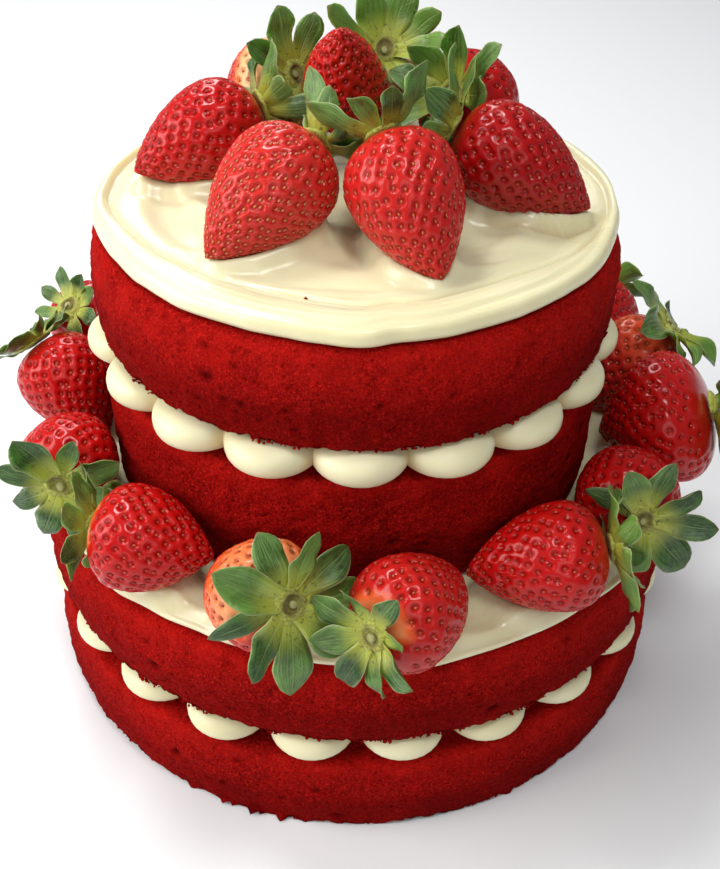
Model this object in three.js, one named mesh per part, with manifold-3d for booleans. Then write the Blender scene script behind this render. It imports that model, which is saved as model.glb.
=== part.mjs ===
// A two-tier red velvet cake with bare sides: four sponge layers, piped cream between them,
// spread cream on both tiers, and whole strawberries with their leafy caps on.
// Millimetres, +Z up. The origin is the middle of the cake's underside, and the front is at -Y.
import * as THREE from "three";
import { mergeVertices } from "three/addons/utils/BufferGeometryUtils.js";
import Module from "manifold-3d";

const wasm = await Module();
wasm.setup();

// Driving dimensions
const LOWER_RADIUS = 100; // a 20 cm tin
const UPPER_RADIUS = 75; // a 15 cm tin
const GAP = 0.3; // between pieces that touch

// Heights of the layers, from the underside up
const BASE_SPONGE = 28;
const LOWER_FILLING = 10.5;
const LOWER_TOP_SPONGE = 28.5;
const SHELF_CREAM = 4.6;
const UPPER_BASE_SPONGE = 39;
const UPPER_FILLING = 12;
const UPPER_TOP_SPONGE = 30;
const TOP_CREAM = 4.4;

const Z_LOWER_FILLING = BASE_SPONGE;
const Z_LOWER_TOP = Z_LOWER_FILLING + LOWER_FILLING;
const Z_SHELF = Z_LOWER_TOP + LOWER_TOP_SPONGE;
const Z_UPPER_BASE = Z_SHELF + SHELF_CREAM;
const Z_UPPER_FILLING = Z_UPPER_BASE + UPPER_BASE_SPONGE;
const Z_UPPER_TOP = Z_UPPER_FILLING + UPPER_FILLING;
const Z_TOP_CREAM = Z_UPPER_TOP + UPPER_TOP_SPONGE;
const Z_TOP = Z_TOP_CREAM + TOP_CREAM;

// Sponge
const SPONGE_SEGMENTS = 44;
const SPONGE_BULGE = 0.9; // how far the side swells at mid height
const SPONGE_FOOT = 1.2; // rounding of the bottom edge
const SPONGE_CRAGS = 0.45; // how uneven the side is
const UPPER_TIER_SHIFT = -1.7; // the upper tier stands a little to the left

// Piped balls of cream: how many, the ring that their centres lie on, their radius, and where
// the first one is in degrees
const UPPER_BALLS = { count: 18, ring: 66, radius: 13.3, turn: 12.2 };
const LOWER_BALLS = { count: 22, ring: 89.2, radius: 12.6, turn: 17.3 };
const BALL_SQUARENESS = 2.6; // 2 is an ellipsoid, more is flatter above and below
const BALL_LEVELS = [-0.96, -0.62, 0, 0.62, 0.96]; // as shares of half the height
const BALL_STEPS = 6; // round each ball
const BALL_VARIETY = 0.05; // how much their sizes differ

// Spread cream
const CREAM_SEGMENTS = 44;
const SHELF_EDGE = 97.5;
const TOP_EDGE = 71.5;
const RIM_WIDTH = 7; // the band that the palette knife leaves round the top
const RIM_HEIGHT = 1.3;
const GROOVE_DEPTH = 1; // just inside that band
const SWIRL_HEIGHT = 0.7;
const SWIRL_PITCH = 27; // from one stroke to the next

// Strawberries
const WIDEST = 0.3; // where a berry is widest, as a share of its length from the cap
const SHOULDER_POWER = 0.8;
const TIP_POWER = 0.72;
const BERRY_SEGMENTS = 12;
const BERRY_STATIONS = [0.02, 0.1, 0.3, 0.55, 0.77, 0.94];

// Leafy caps
const HUB_RADIUS = 5.2;
const HUB_RISE = 2.4;
const SEPAL_STATIONS = [0.4, 0.75]; // between the hub and the tip
const SEPAL_SHAPE = [1, 0.74]; // the width there, as a share of the widest
const SEPAL_WIDTH = 0.56; // as a share of the length
const SEPAL_THICKNESS = 1;
const SEPAL_KEEL = 0.12; // how far the middle lies below the edges, as a share of the width
const CAP_SEAT = 1; // from the berry to its cap
const STUB = 1.5; // a sepal with no room to grow
const SHORTENED = [1, 0.86, 0.72, 0.58, 0.44, 0.3]; // lengths tried, as shares
const LIFTED = [0, 10, -10, 20, -20, 32, -32, 45, 60, 75]; // turns tried for each length
const MOST_LIFT = 88;
const LEAST_LIFT = -30;

// How each berry lies: its angle round the cake, the distance of its widest place from the
// cake's axis, the way its tip points seen from above, how far the tip dips, its length and its
// radius, then its cap: how far the leaves reach from the middle, how many there are, and how
// far they stand back from the berry. Angles are in degrees.
function lying(name, at, out, heading, dip, length, radius, leaf, sepals, lift) {
  return { name, at, out, heading, dip, length, radius, leaf, sepals, lift };
}
const TOP_BERRIES = [
  lying("left", 168, 41, 208, 17, 39.5, 13.5, 17, 8, 35),
  lying("front_left", -128, 33, 224, 27, 42.5, 14.8, 16, 8, 50),
  lying("front_right", -72, 32.5, 299, 38, 40.5, 15, 17, 8, 40),
  lying("right", -11, 37.5, 344, 25, 42, 14.2, 18, 8, 40),
  lying("back_right", 38, 37.5, 66, 33, 39, 14.5, 18, 8, 40),
  lying("back", 83, 41, 95, 45, 40, 14.3, 19, 8, 40),
  lying("back_left", 127, 43.5, 125, 33, 39, 13.6, 17, 8, 40),
  { ...lying("middle", 108, 15.5, 264, -57, 40, 11.8, 13, 7, 10), held: 10.5 },
];
const RING_BERRIES = [
  lying("01", -156, 93, 92, 15, 39.5, 14.4, 18, 8, 5),
  lying("02", -132, 92, 344, 1, 35, 14.6, 18, 8, 12),
  lying("03", -104, 94, 128, 28, 37, 14.8, 21, 9, 2),
  lying("04", -82.5, 97, 52, 11, 37, 15.3, 16, 8, 14),
  lying("05", -52, 92.5, 184, 12, 39, 14.8, 18, 8, 14),
  lying("06", -32, 92.5, 98, 15, 37, 14.5, 19, 9, 3),
  lying("07", -10, 100, 161, 16, 35, 15.8, 18, 8, 20),
  lying("08", 9, 93, 184, 52, 38, 14.2, 18, 8, 8),
  lying("09", 31, 95.5, 255, 12, 38, 14.8, 17, 8, 12),
  lying("10", 54, 92.5, 232, 54, 37, 14.2, 17, 8, 10),
  lying("11", 79, 95.5, 172, 12, 38, 15, 18, 8, 14),
  lying("12", 105, 94, 288, 50, 37, 14.2, 16, 8, 8),
  lying("13", 129, 95, 359, 12, 38, 14.8, 17, 8, 12),
  lying("14", 160, 97, 60, 50, 36, 13.6, 14, 8, 25),
  lying("15", 178, 95, 328, 45, 36, 14.4, 17, 8, 10),
];

// Materials, from the photograph
const SPONGE = new THREE.MeshStandardMaterial({ color: 0x9c0d12, roughness: 0.95, metalness: 0 });
const CREAM = new THREE.MeshStandardMaterial({ color: 0xf1e6bd, roughness: 0.35, metalness: 0 });
const BERRY = new THREE.MeshStandardMaterial({ color: 0xc4141a, roughness: 0.25, metalness: 0 });
const LEAF = new THREE.MeshStandardMaterial({ color: 0x4c7a35, roughness: 0.6, metalness: 0 });

const rad = THREE.MathUtils.degToRad;
const TURN = Math.PI * 2;
const UP = new THREE.Vector3(0, 0, 1);

// A repeatable number from 0 to 1 for a seed.
function noise(seed) {
  const x = Math.sin(seed * 127.1 + 11.7) * 43758.5453;
  return x - Math.floor(x);
}

// Smooth waves round a circle, from -1 to 1, that close on themselves.
function waves(angle, seed) {
  let sum = 0;
  for (const [order, share] of [[3, 0.4], [5, 0.35], [9, 0.25]]) {
    sum += share * Math.sin(order * angle + TURN * noise(seed + order));
  }
  return sum;
}

function indexedGeometry(positions, faces) {
  const geometry = new THREE.BufferGeometry();
  geometry.setAttribute("position", new THREE.Float32BufferAttribute(positions, 3));
  geometry.setIndex(faces);
  return geometry;
}

// A closed surface round the Z axis. profile(angle) gives [radius, z] points from the lower
// pole to the upper one, and its two ends lie on the axis.
function spun(angles, profile) {
  const rings = angles.map((angle) => profile(angle));
  const inner = rings[0].length - 2;
  const positions = [0, 0, rings[0][0][1]];
  rings.forEach((ring, i) => {
    for (const [radius, z] of ring.slice(1, -1)) {
      positions.push(radius * Math.cos(angles[i]), radius * Math.sin(angles[i]), z);
    }
  });
  positions.push(0, 0, rings[0].at(-1)[1]);
  const top = positions.length / 3 - 1;
  const at = (i, j) => 1 + (i % angles.length) * inner + j;
  const faces = [];
  for (let i = 0; i < angles.length; i++) {
    faces.push(0, at(i + 1, 0), at(i, 0));
    for (let j = 0; j < inner - 1; j++) {
      faces.push(at(i, j), at(i + 1, j), at(i + 1, j + 1));
      faces.push(at(i, j), at(i + 1, j + 1), at(i, j + 1));
    }
    faces.push(top, at(i, inner - 1), at(i + 1, inner - 1));
  }
  return indexedGeometry(positions, faces);
}

function evenAngles(count) {
  return Array.from({ length: count }, (_, i) => (i / count) * TURN);
}

// The solid of a mesh where it stands in the cake.
function solidOf(mesh) {
  mesh.updateWorldMatrix(true, false);
  const bare = mesh.geometry.clone().applyMatrix4(mesh.matrixWorld);
  const merged = mergeVertices(bare, 1e-4);
  return new wasm.Manifold(
    new wasm.Mesh({
      numProp: 3,
      vertProperties: merged.attributes.position.array,
      triVerts: new Uint32Array(merged.index.array),
    }),
  );
}

// One round sponge layer, a little swollen at mid height, with a rounded and uneven edge.
function sponge(radius, height, edge, seed) {
  return spun(evenAngles(SPONGE_SEGMENTS), (angle) => {
    const crag = (share) => SPONGE_CRAGS * waves(angle, seed + share * 7);
    const side = (share) => radius + SPONGE_BULGE * Math.sin(Math.PI * share) + crag(share);
    return [
      [0, 0],
      [side(0) - SPONGE_FOOT, 0],
      [side(0), SPONGE_FOOT],
      [side(0.5), height * 0.5],
      [side(1) + 0.1 * edge, height - edge],
      [side(1) - 0.25 * edge, height - 0.25 * edge],
      [side(1) - edge, height],
      [0, height],
    ];
  });
}

// The angles of the filling's outline, closer together towards the clefts between the balls.
function ballAngles(balls) {
  const angles = [];
  const half = TURN / balls.count / 2;
  for (let i = 0; i < balls.count; i++) {
    const middle = rad(balls.turn) + i * 2 * half;
    for (let k = 0; k < BALL_STEPS; k++) {
      angles.push(middle + half * Math.sin(((k * 2) / BALL_STEPS - 1) * (Math.PI / 2)));
    }
  }
  return angles;
}

// The filling: a disc of cream whose outline is a ring of piped balls, pressed flat above and
// below by the sponges.
function filling(balls, height) {
  const half = TURN / balls.count / 2;
  const rise = height / 2 - GAP;
  const ballRadius = (share, grown) =>
    balls.radius * grown * (1 - Math.abs(share) ** BALL_SQUARENESS) ** (1 / BALL_SQUARENESS);
  return spun(ballAngles(balls), (angle) => {
    const turns = (angle - rad(balls.turn) + half) / (2 * half);
    const number = Math.floor(turns + 1e-6);
    const off = (turns - number - 0.5) * 2 * half;
    const differs = BALL_VARIETY * (noise(number + balls.count) - 0.5);
    const grown = 1 + differs * Math.cos((off / half) * (Math.PI / 2));
    const outline = (share) => {
      const reach = ballRadius(share, grown) ** 2 - (balls.ring * Math.sin(off)) ** 2;
      return balls.ring * Math.cos(off) + Math.sqrt(Math.max(0, reach));
    };
    return [
      [0, height / 2 - rise],
      ...BALL_LEVELS.map((share) => [outline(share), height / 2 + rise * share]),
      [0, height / 2 + rise],
    ];
  });
}

// How far the edge of the spread cream runs out beyond its mean, in slow waves and a few drips.
function creamRun(angle, seed, drips) {
  let run = 0.9 * waves(angle, seed);
  for (const [middle, size, width] of drips) {
    const away = Math.atan2(Math.sin(angle - rad(middle)), Math.cos(angle - rad(middle)));
    run += size * Math.exp(-((away / rad(width)) ** 2));
  }
  return run;
}

// Drips of the cream's edge: the angle of each, how far it runs out and its half width in degrees
const SHELF_DRIPS = [[-82, 2.6, 8], [-37, 2.4, 10], [-134, 1.6, 5], [120, 2, 9], [30, 1.8, 8]];
const TOP_DRIPS = [[-89, 1.8, 7], [-34, 1.5, 12], [0, 3, 30], [-174, 2, 14], [95, 1.6, 12]];

// The cream on the lower tier: a thin sheet that runs under the upper tier.
function shelfCream() {
  return spun(evenAngles(CREAM_SEGMENTS), (angle) => {
    const edge = SHELF_EDGE + creamRun(angle, 31, SHELF_DRIPS);
    return [
      [0, GAP],
      [edge - 1.6, GAP],
      [edge, 1.2],
      [edge - 1.2, 3],
      [edge - 5, SHELF_CREAM - GAP],
      [UPPER_RADIUS + 4, SHELF_CREAM - GAP],
      [0, SHELF_CREAM - GAP],
    ];
  });
}

// The height of the top cream above its mean level: a swirled middle, a groove and the band
// round the rim. The strokes spiral outwards.
function creamRelief(radius, angle, edge) {
  const inward = edge - radius;
  const band = RIM_HEIGHT * Math.exp(-(((inward - RIM_WIDTH * 0.7) / (RIM_WIDTH * 0.6)) ** 2));
  const groove = GROOVE_DEPTH * Math.exp(-(((inward - RIM_WIDTH * 2) / (RIM_WIDTH * 0.5)) ** 2));
  const fade = Math.min(1, radius / 20) * Math.min(1, Math.max(0, inward - RIM_WIDTH * 2) / 12);
  const swirl = SWIRL_HEIGHT * Math.sin((radius / SWIRL_PITCH) * TURN - angle) * fade;
  return band - groove + swirl;
}

const TOP_RINGS = [4.5, 9.5, 14, 20, 30, 42, 56]; // inward from the edge
function topCream() {
  return spun(evenAngles(CREAM_SEGMENTS), (angle) => {
    const edge = TOP_EDGE + creamRun(angle, 17, TOP_DRIPS);
    const onTop = TOP_RINGS.map((inward) => {
      const radius = (edge * (TOP_EDGE - inward)) / TOP_EDGE;
      return [radius, TOP_CREAM + creamRelief(radius, angle, edge)];
    });
    return [[0, GAP], [edge - 1.8, GAP], [edge, 1.7], [edge - 1.2, 4], ...onTop, [0, TOP_CREAM]];
  });
}

// A berry's radius at a share of its length from the cap to the tip, as a share of its widest.
function berryWidth(share) {
  if (share < WIDEST) {
    return (1 - ((WIDEST - share) / WIDEST) ** 2) ** (SHOULDER_POWER / 2);
  }
  return Math.cos(((share - WIDEST) / (1 - WIDEST)) * (Math.PI / 2)) ** TIP_POWER;
}

// A berry along +Z with its widest place at the origin, cap below and tip above.
function berryGeometry(berry, seed) {
  return spun(evenAngles(BERRY_SEGMENTS), (angle) => {
    const uneven = 1 + 0.025 * Math.cos(2 * angle + seed) + 0.015 * Math.cos(3 * angle + 2 * seed);
    return [
      [0, -WIDEST * berry.length],
      ...BERRY_STATIONS.map((share) => [
        berry.radius * berryWidth(share) * uneven,
        (share - WIDEST) * berry.length,
      ]),
      [0, (1 - WIDEST) * berry.length],
    ];
  });
}

// The turn that points a berry's +Z along its heading and dip.
function berryTurn(berry) {
  const heading = rad(berry.heading);
  const dip = rad(berry.dip);
  const level = Math.cos(dip);
  const tip = new THREE.Vector3(level * Math.cos(heading), level * Math.sin(heading), -Math.sin(dip));
  return new THREE.Quaternion().setFromUnitVectors(UP, tip);
}

function boxesMeet(a, b, reach) {
  const p = a.boundingBox();
  const q = b.boundingBox();
  return [0, 1, 2].every((k) => p.min[k] <= q.max[k] + reach && q.min[k] <= p.max[k] + reach);
}

function clearOf(solid, others, gap) {
  return others.every((other) => !boxesMeet(solid, other, gap) || solid.minGap(other, gap) >= gap);
}

// Lowers a mesh until it all but rests on what lies below.
function settle(mesh, others) {
  const solid = solidOf(mesh);
  let clear = 0;
  let blocked = 40;
  while (blocked - clear > 0.02) {
    const middle = (clear + blocked) / 2;
    if (clearOf(solid.translate([0, 0, -middle]), others, GAP)) clear = middle;
    else blocked = middle;
  }
  mesh.position.z -= clear;
}

// The points of a sepal at a share of its length: its two edges, and its middle on the side of
// the stem (outer) and on the side of the berry (inner). The cap's plane is z = 0 and the berry
// is above it. lift is the sepal's angle towards the stem at the hub, curl what it adds by the
// tip, and twist turns it about its own middle.
function sepalRow(sepal, share, width) {
  const lift = rad(sepal.lift + sepal.curl * share);
  const chord = rad(sepal.lift + (sepal.curl * share) / 2);
  const along = HUB_RADIUS + sepal.length * share * Math.cos(chord);
  const height = -sepal.length * share * Math.sin(chord);
  const room = 0.92 * along * Math.tan((sepal.to - sepal.from) / 2);
  const half = Math.min((width * SEPAL_WIDTH * sepal.length) / 2, room);
  const middle = (sepal.from + sepal.to) / 2;
  const point = (side, rise) => {
    const radius = along + rise * Math.sin(lift);
    const z = height + rise * Math.cos(lift);
    const x = radius * Math.cos(middle) - side * Math.sin(middle);
    const y = radius * Math.sin(middle) + side * Math.cos(middle);
    return [x, y, z];
  };
  const tilt = rad(sepal.twist) * share;
  const edge = (side) => point(side * half * Math.cos(tilt), side * half * Math.sin(tilt));
  const keel = -SEPAL_KEEL * half * 2;
  const thick = SEPAL_THICKNESS * (1 - 0.5 * share);
  return {
    left: edge(1),
    right: edge(-1),
    outer: point(0, keel - thick / 2),
    inner: point(0, keel + thick / 2),
  };
}

// A cap: a star of thin sepals round a hub. Both of its faces have the same triangles.
function capGeometry(sepals) {
  const positions = [];
  const faces = [];
  const put = (point) => positions.push(...point) / 3 - 1;
  const hub = { outer: put([0, 0, -HUB_RISE]), inner: put([0, 0, 0]) };
  const notches = sepals.map(({ from }) =>
    put([HUB_RADIUS * Math.cos(from), HUB_RADIUS * Math.sin(from), -0.7]),
  );
  // Adds a triangle of the inner face, and its like on the outer face.
  const both = (points) => {
    faces.push(...points.map((p) => p.inner));
    faces.push(...points.map((p) => p.outer).reverse());
  };
  const edgePoint = (index) => ({ inner: index, outer: index });
  sepals.forEach((sepal, i) => {
    const root = sepalRow(sepal, 0, 0);
    let row = {
      left: edgePoint(notches[(i + 1) % sepals.length]),
      right: edgePoint(notches[i]),
      middle: { inner: put(root.inner), outer: put(root.outer) },
    };
    both([hub, row.right, row.middle]);
    both([hub, row.middle, row.left]);
    SEPAL_STATIONS.forEach((share, k) => {
      const next = sepalRow(sepal, share, SEPAL_SHAPE[k]);
      const to = {
        left: edgePoint(put(next.left)),
        right: edgePoint(put(next.right)),
        middle: { inner: put(next.inner), outer: put(next.outer) },
      };
      both([row.right, to.right, to.middle]);
      both([row.right, to.middle, row.middle]);
      both([row.middle, to.middle, to.left]);
      both([row.middle, to.left, row.left]);
      row = to;
    });
    const tip = edgePoint(put(sepalRow(sepal, 1, 0).inner));
    both([row.right, tip, row.middle]);
    both([row.middle, tip, row.left]);
  });
  return indexedGeometry(positions, faces);
}

// The sepals of a cap before they are fitted, as they would lie with room all round.
function freeSepals(berry, seed) {
  const pick = (k) => noise(seed * 31 + k);
  const step = TURN / berry.sepals;
  const edges = Array.from({ length: berry.sepals }, (_, i) => (i + 0.3 * (pick(i) - 0.5)) * step);
  return edges.map((from, i) => ({
    from,
    to: i + 1 < edges.length ? edges[i + 1] : edges[0] + TURN,
    length: berry.leaf * (0.85 + 0.3 * pick(i + 20)) - HUB_RADIUS,
    lift: berry.lift + 24 * (pick(i + 40) - 0.5),
    curl: 40 * (pick(i + 60) - 0.65),
    twist: 50 * (pick(i + 80) - 0.5),
  }));
}

// Grows one sepal of a cap, raised, lowered or shortened until it clears what is there.
function growSepal(cap, i, obstacles) {
  const wanted = cap.wanted[i];
  for (const share of SHORTENED) {
    for (const change of LIFTED) {
      const lift = wanted.lift + change;
      if (lift > MOST_LIFT || lift < LEAST_LIFT) continue;
      const trial = cap.sepals.with(i, { ...wanted, lift, length: wanted.length * share });
      cap.mesh.geometry = capGeometry(trial);
      const solid = solidOf(cap.mesh);
      if (clearOf(solid, obstacles, GAP)) {
        cap.sepals = trial;
        cap.solid = solid;
        return;
      }
    }
  }
}

// The caps grow together, a sepal of each in turn, so that neighbours share the room.
function growCaps(caps, solids) {
  const most = Math.max(...caps.map((cap) => cap.wanted.length));
  for (let i = 0; i < most; i++) {
    for (const cap of caps.filter(({ wanted }) => i < wanted.length)) {
      const others = caps.filter((other) => other !== cap).map((other) => other.solid);
      growSepal(cap, i, [...solids, ...others]);
    }
  }
  for (const cap of caps) cap.mesh.geometry = capGeometry(cap.sepals);
}

const cake = new THREE.Group();
const upperTier = new THREE.Group();
upperTier.position.x = UPPER_TIER_SHIFT;
cake.add(upperTier);
const solids = [];

function addMesh(group, name, geometry, material, height) {
  const mesh = new THREE.Mesh(geometry, material);
  mesh.name = name;
  mesh.position.z = height;
  group.add(mesh);
  return mesh;
}

function addLayer(group, name, geometry, material, height) {
  solids.push(solidOf(addMesh(group, name, geometry, material, height)));
}

const EDGES = { plain: 2, shelf: 3.5, top: 5 }; // rounding of a sponge's upper edge
const lowerBase = sponge(LOWER_RADIUS, BASE_SPONGE, EDGES.plain, 1);
const lowerTop = sponge(LOWER_RADIUS, LOWER_TOP_SPONGE, EDGES.shelf, 2);
const upperBase = sponge(UPPER_RADIUS - 1, UPPER_BASE_SPONGE, EDGES.plain, 3);
const upperTop = sponge(UPPER_RADIUS, UPPER_TOP_SPONGE, EDGES.top, 4);
addLayer(cake, "sponge_lower_base", lowerBase, SPONGE, 0);
addLayer(cake, "filling_lower", filling(LOWER_BALLS, LOWER_FILLING), CREAM, Z_LOWER_FILLING);
addLayer(cake, "sponge_lower_top", lowerTop, SPONGE, Z_LOWER_TOP);
addLayer(cake, "cream_shelf", shelfCream(), CREAM, Z_SHELF);
addLayer(upperTier, "sponge_upper_base", upperBase, SPONGE, Z_UPPER_BASE);
addLayer(upperTier, "filling_upper", filling(UPPER_BALLS, UPPER_FILLING), CREAM, Z_UPPER_FILLING);
addLayer(upperTier, "sponge_upper_top", upperTop, SPONGE, Z_UPPER_TOP);
addLayer(upperTier, "cream_top", topCream(), CREAM, Z_TOP_CREAM);

// All berries come first, because the caps are fitted round them.
const berryMeshes = [];
function addBerries(prefix, berries, level) {
  berries.forEach((berry, i) => {
    const mesh = addMesh(cake, `berry_${prefix}_${berry.name}`, berryGeometry(berry, i), BERRY, 0);
    const at = rad(berry.at);
    mesh.position.set(berry.out * Math.cos(at), berry.out * Math.sin(at), level + 30);
    mesh.quaternion.copy(berryTurn(berry));
    settle(mesh, solids);
    mesh.position.z += berry.held ?? 0;
    solids.push(solidOf(mesh));
    berryMeshes.push({ berry, mesh, name: `cap_${prefix}_${berry.name}` });
  });
}
addBerries("top", TOP_BERRIES, Z_TOP);
addBerries("ring", RING_BERRIES, Z_UPPER_BASE);

growCaps(
  berryMeshes.map(({ berry, mesh, name }, i) => {
    const wanted = freeSepals(berry, i + 1);
    const sepals = wanted.map((sepal) => ({ ...sepal, length: STUB, curl: 0, twist: 0 }));
    const cap = addMesh(cake, name, capGeometry(sepals), LEAF, 0);
    const away = new THREE.Vector3(0, 0, -WIDEST * berry.length - CAP_SEAT);
    cap.quaternion.copy(mesh.quaternion);
    cap.position.copy(mesh.position).add(away.applyQuaternion(mesh.quaternion));
    return { mesh: cap, wanted, sepals, solid: solidOf(cap) };
  }),
  solids,
);

export default cake;
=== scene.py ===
import math

import bpy
import numpy as np
from mathutils import Matrix, Vector
from mathutils.bvhtree import BVHTree
from numpy.linalg import norm


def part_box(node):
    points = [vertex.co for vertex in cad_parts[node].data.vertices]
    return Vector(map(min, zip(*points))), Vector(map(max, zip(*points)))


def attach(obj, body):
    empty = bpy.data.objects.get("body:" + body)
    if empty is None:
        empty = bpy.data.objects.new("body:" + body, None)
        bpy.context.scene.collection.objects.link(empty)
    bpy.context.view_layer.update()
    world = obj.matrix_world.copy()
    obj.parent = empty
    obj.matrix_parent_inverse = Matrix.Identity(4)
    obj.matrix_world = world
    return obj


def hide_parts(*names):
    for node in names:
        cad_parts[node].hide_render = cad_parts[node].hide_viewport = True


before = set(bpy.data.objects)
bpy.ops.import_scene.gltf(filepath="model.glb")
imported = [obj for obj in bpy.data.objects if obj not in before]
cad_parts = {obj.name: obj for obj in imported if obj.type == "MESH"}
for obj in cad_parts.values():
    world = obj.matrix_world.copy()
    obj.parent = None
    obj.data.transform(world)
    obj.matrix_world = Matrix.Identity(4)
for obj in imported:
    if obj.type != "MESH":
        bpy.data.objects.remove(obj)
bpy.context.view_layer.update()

MM = 0.001
TURN = 2 * math.pi
GOLDEN_ANGLE = math.pi * (3 - math.sqrt(5))

# Camera, worked out from the outlines of both tiers in the photograph
FOCAL_PIXELS = 1242.1
PICTURE_HEIGHT = 869
SENSOR = 36
CAMERA_PLACE = (0.8, -319.1, 320.8)
CAMERA_RIGHT = (0.99982, 0.01164, 0.01479)
CAMERA_UP = (-0.0188, 0.6184, 0.7857)

# Piped balls of cream, as in the CAD part
UPPER_BALLS = {"count": 18, "ring": 66, "radius": 13.3, "turn": 12.2}
LOWER_BALLS = {"count": 22, "ring": 89.2, "radius": 12.6, "turn": 17.3}
BALL_SQUARENESS = 2.6
BALL_STEPS = 18
BALL_ROWS = 21
UPPER_TIER_SHIFT = -1.7

# Sponge: how far a side bulges, how far apart its rows are, and pits for each mm of radius
SPONGE_BULGE = 1.2
SPONGE_ROW = 0.72
PITS_PER_MM = 3.2
# Sizes of pits and of loose crumbs, and how often each comes
PIT_SIZES = ((0.5, 0.7, 0.95, 1.4), (0.45, 0.33, 0.17, 0.05))
CRUMB_SIZES = ((0.25, 0.35, 0.48, 0.62), (0.3, 0.35, 0.25, 0.1))
CRUMBS_IN_CLUMP = 5
SIDE_CRUMB_EVERY = 12
# Where the lowest edge sticks out in teeth: angle, and size and width in mm
BASE_TEETH = (
    (-119, 0.8, 1.2), (-112.2, 2.0, 1.2), (-110.6, 1.4, 0.9), (-106.9, 2.8, 1.4),
    (-105.4, 1.6, 0.8), (-101.8, 2.2, 1.3), (-98, 0.8, 1.2), (-61, 0.9, 1.1),
    (48, 1.4, 1.3), (163, 1.2, 1.2),
)

# Spread cream: radii of its edges and of the part under the upper tier, how many points go
# round, and how high the top lies
SHELF_EDGE = 97.5
TOP_EDGE = 71.5
UPPER_INSIDE = 77.0
SHELF_RINGS = 400
TOP_RINGS = 340
TOP_LEVEL = 4.1
# Where the edge runs over: angle, size in mm and width as an angle
SHELF_DRIPS = ((-82, 2.6, 8), (-37, 2.4, 10), (-134, 1.6, 5), (120, 2, 9), (30, 1.8, 8))
TOP_DRIPS = ((-89, 1.8, 7), (-34, 1.5, 12), (0, 3, 30), (-174, 2, 14), (95, 1.6, 12))
# Waves in the top cream: places (x, y) along each crest, height, and widths behind and in front
STROKES = (
    (((-26, -21), (-17, -24.5), (-8, -30), (-3, -37)), 0.9, 3.0, 1.2),
    (((-50, -33), (-38, -36), (-26, -37), (-16, -34)), 0.8, 1.3, 2.6),
    (((-54, 4), (-50, -6), (-42, -14), (-34, -19)), 0.8, 2.6, 1.2),
    (((8, -41), (22, -43), (36, -40), (48, -33)), 0.6, 1.2, 3.0),
    (((20, -28), (32, -31), (44, -31), (54, -27)), 0.5, 3.2, 1.4),
    (((-40, -48), (-20, -53), (4, -54), (26, -51)), 0.5, 1.0, 2.0),
)
# Grooves along the rim of the top cream: angle, arc in radians, and in mm how far in, how far it
# wanders, depth and width
GROOVES = ((-52, 0.6, 3.6, 0.8, 0.9, 0.9), (-100, 0.55, 11.2, 1.2, 0.6, 0.8))
FOLD = ((30, -13.5), (38, -17.5), (47, -19.5), (56, -19), (62, -16), (66, -10))
PUSHED_UP = (-9.5, -32.5)
CRUMB_ON_RIM = (-13.7, -56.3)
# Cream rises to a berry that is less than MOUND_TOUCH above it, and less and less up to
# MOUND_REACH. Round each berry there is a collar as well.
MOUND_TOUCH = 4.0
MOUND_REACH = 10.0
COLLAR_RISE = 1.5
COLLAR_REACH = 3.6

# Strawberries: where a berry is widest, as a share of its length, the powers that shape its
# outline on both sides of that, and its radius as a share of the CAD part's
WIDEST = 0.3
SHOULDER_POWER = 0.8
TIP_POWER = 0.8
FLESH_SHARE = 0.985
BERRY_RINGS = 132
BERRY_ROWS = 62
HUB_RADIUS = 5.2
DIMPLE_DEPTH = 0.45
DIMPLE_WIDTH = 1.25
SWELL = 0.14
# Seeds: mm2 of flesh for each, and half its length and width, its depth and how deep it sits
SEED_SPACING = 14.0
SEED_LENGTH = 0.6
SEED_WIDTH = 0.34
SEED_DEPTH = 0.28
SEED_SINK = 0.3
# The hub of the leaves and the stub of the stem: how far out from the middle, and how high
HUB_OUTLINE = (
    (0.3, -0.4), (1.2, -0.4), (2, -0.4), (3, -0.4), (4, -0.3), (4.6, -0.1), (5, 0.3),
    (4.8, 0.75), (4.1, 1.25), (3.4, 1.6), (3, 1.75), (2.6, 1.6), (2.2, 1.1), (1.8, 0.8),
)
STEM_OUTLINE = ((1.1, 0.6), (1.2, 1.2), (1.15, 1.6), (0.95, 1.9), (0.6, 2))
# Leaves on top are longer than the CAD part's, and fuller than those round the lower tier
TOP_LEAF_STRETCH = 1.14
TOP_LEAF_FULLNESS = (0.35, 1.0)
RING_LEAF_FULLNESS = (0.0, 0.5)
LEAF_ROWS = 13
LEAF_COLUMNS = 7
LEAF_THICKNESS = 0.4
# Ranges in which leaves differ: width as a share of the CAD part's, turn at the tip in radians,
# how hollow a leaf is across, and how far its tip is bent up and aside in mm
LEAF_WIDTH = (1.1, 1.45)
LEAF_TURN = (-0.6, 0.6)
LEAF_CUP = (-0.3, 0.7)
LEAF_BEND = (-1.0, 4.2)
LEAF_SWAY = (-2.2, 2.2)

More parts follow.
